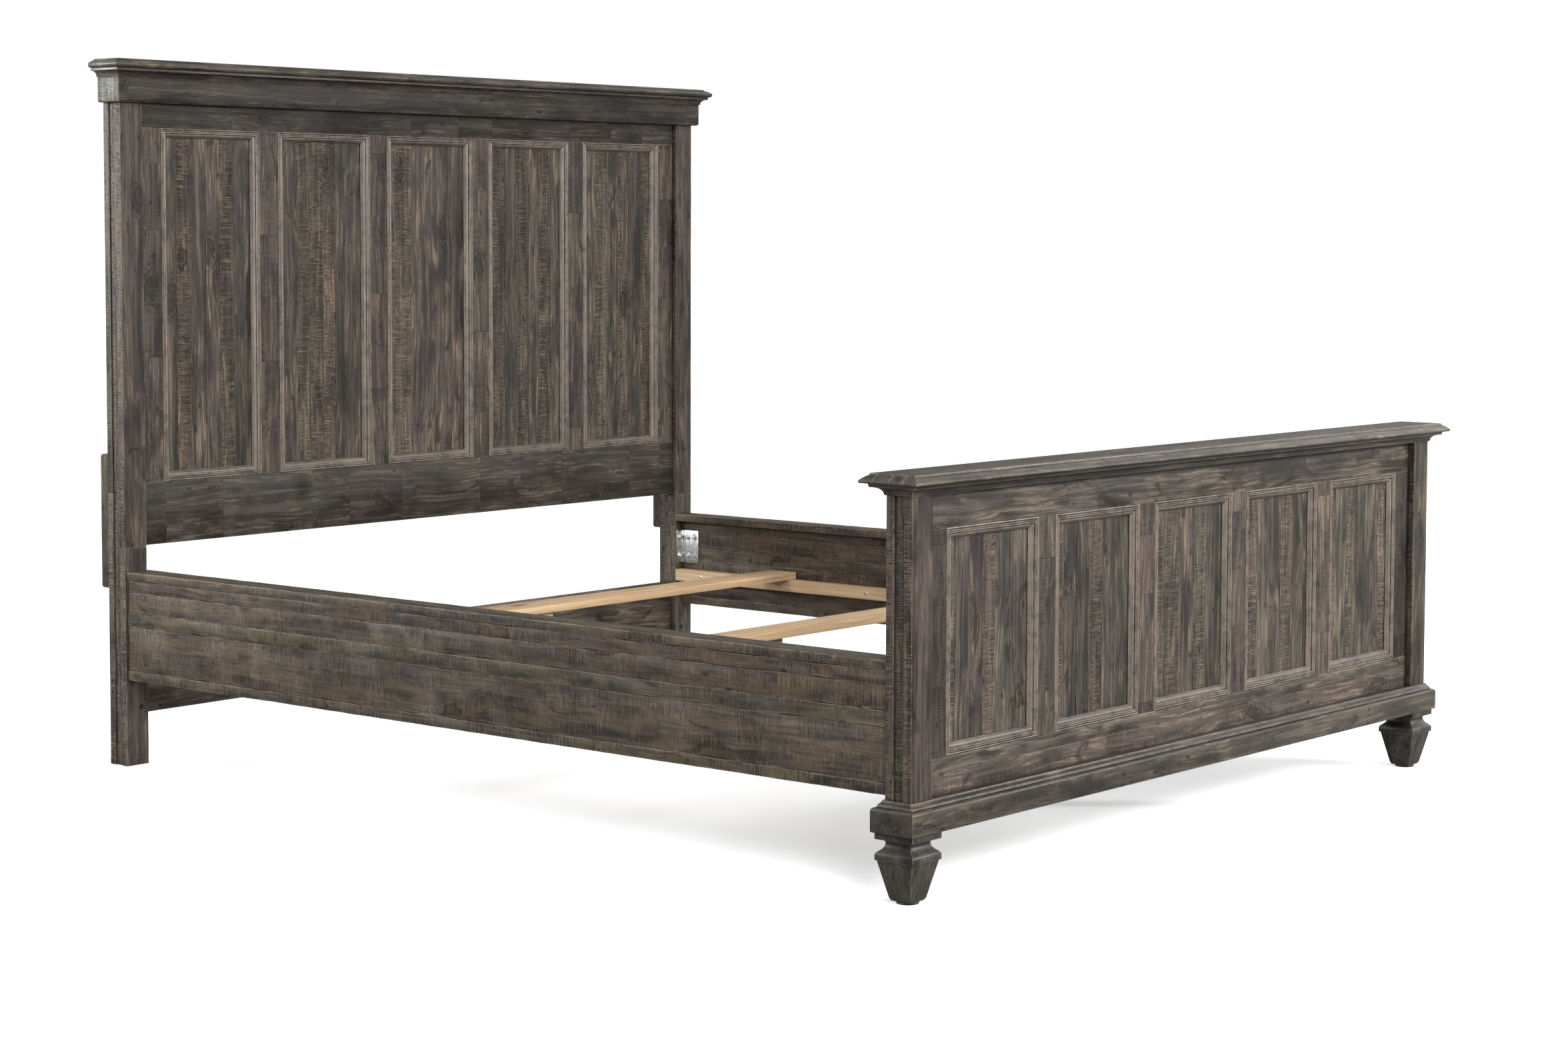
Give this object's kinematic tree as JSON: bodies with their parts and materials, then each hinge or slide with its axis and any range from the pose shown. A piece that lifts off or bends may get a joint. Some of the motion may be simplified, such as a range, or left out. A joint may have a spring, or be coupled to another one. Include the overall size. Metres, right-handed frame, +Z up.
{
  "type": "bed frame",
  "caption": "Panelled wooden bed frame with a tall crowned headboard, a low footboard on square tapered feet, deep side rails and levelled centre legs.",
  "frame": {"origin": "on the floor, at the centre of the bounding box's footprint", "axes": "+Z up; +Y from the footboard to the headboard; +X to the right of somebody who stands at the foot and looks at the headboard"},
  "size_m": [2.0578, 2.4108, 1.634],
  "materials": {
    "board": "distressed charcoal stain under a low-sheen lacquer",
    "plank": "rough-sawn and stained charcoal",
    "moulding": "stained charcoal with rubbed edges",
    "rail": "distressed umber stain under a low-sheen lacquer",
    "hidden": "planed, unfinished",
    "nylon": "moulded"
  },
  "bodies": {
    "bed": {"centre_leg_1": "hidden", "centre_leg_2": "hidden", "centre_leg_3": "hidden", "foot_base_moulding": "moulding", "foot_bottom_rail_lower": "board", "foot_bottom_rail_upper": "board", "foot_cap": "board", "foot_cove_moulding": "moulding", "foot_left": "board", "foot_mullion_1": "board", "foot_mullion_2": "board", "foot_mullion_3": "board", "foot_mullion_4": "board", "foot_panel_moulding_1": "moulding", "foot_panel_moulding_2": "moulding", "foot_panel_moulding_3": "moulding", "foot_panel_moulding_4": "moulding", "foot_panel_moulding_5": "moulding", "foot_plank_panel": "plank", "foot_plinth": "board", "foot_post_left": "board", "foot_post_right": "board", "foot_right": "board", "foot_stile_left": "board", "foot_stile_right": "board", "foot_top_rail": "board", "head_bottom_rail": "board", "head_cap": "board", "head_cleat_left": "rail", "head_cleat_right": "rail", "head_cove_moulding": "moulding", "head_cross_rail": "rail", "head_frieze": "board", "head_leg_left": "rail", "head_leg_right": "rail", "head_mullion_1": "board", "head_mullion_2": "board", "head_mullion_3": "board", "head_mullion_4": "board", "head_panel_moulding_1": "moulding", "head_panel_moulding_2": "moulding", "head_panel_moulding_3": "moulding", "head_panel_moulding_4": "moulding", "head_panel_moulding_5": "moulding", "head_plank_panel": "plank", "head_post_left": "board", "head_post_right": "board", "head_stile_left": "board", "head_stile_right": "board", "head_top_rail": "board", "side_rail_cap_left": "rail", "side_rail_cap_right": "rail", "side_rail_left": "rail", "side_rail_right": "rail", "slat_1": "hidden", "slat_2": "hidden", "slat_3": "hidden"},
    "leveller_1": {"leveller_1": "nylon"},
    "leveller_2": {"leveller_2": "nylon"},
    "leveller_3": {"leveller_3": "nylon"}
  },
  "joints": [
    {"name": "leveller_1_height", "type": "slide", "parent": "bed", "child": "leveller_1", "axis": [0, 0, 1], "range_m": [0, 0.012]},
    {"name": "leveller_2_height", "type": "slide", "parent": "bed", "child": "leveller_2", "axis": [0, 0, 1], "range_m": [0, 0.012]},
    {"name": "leveller_3_height", "type": "slide", "parent": "bed", "child": "leveller_3", "axis": [0, 0, 1], "range_m": [0, 0.012]}
  ]
}
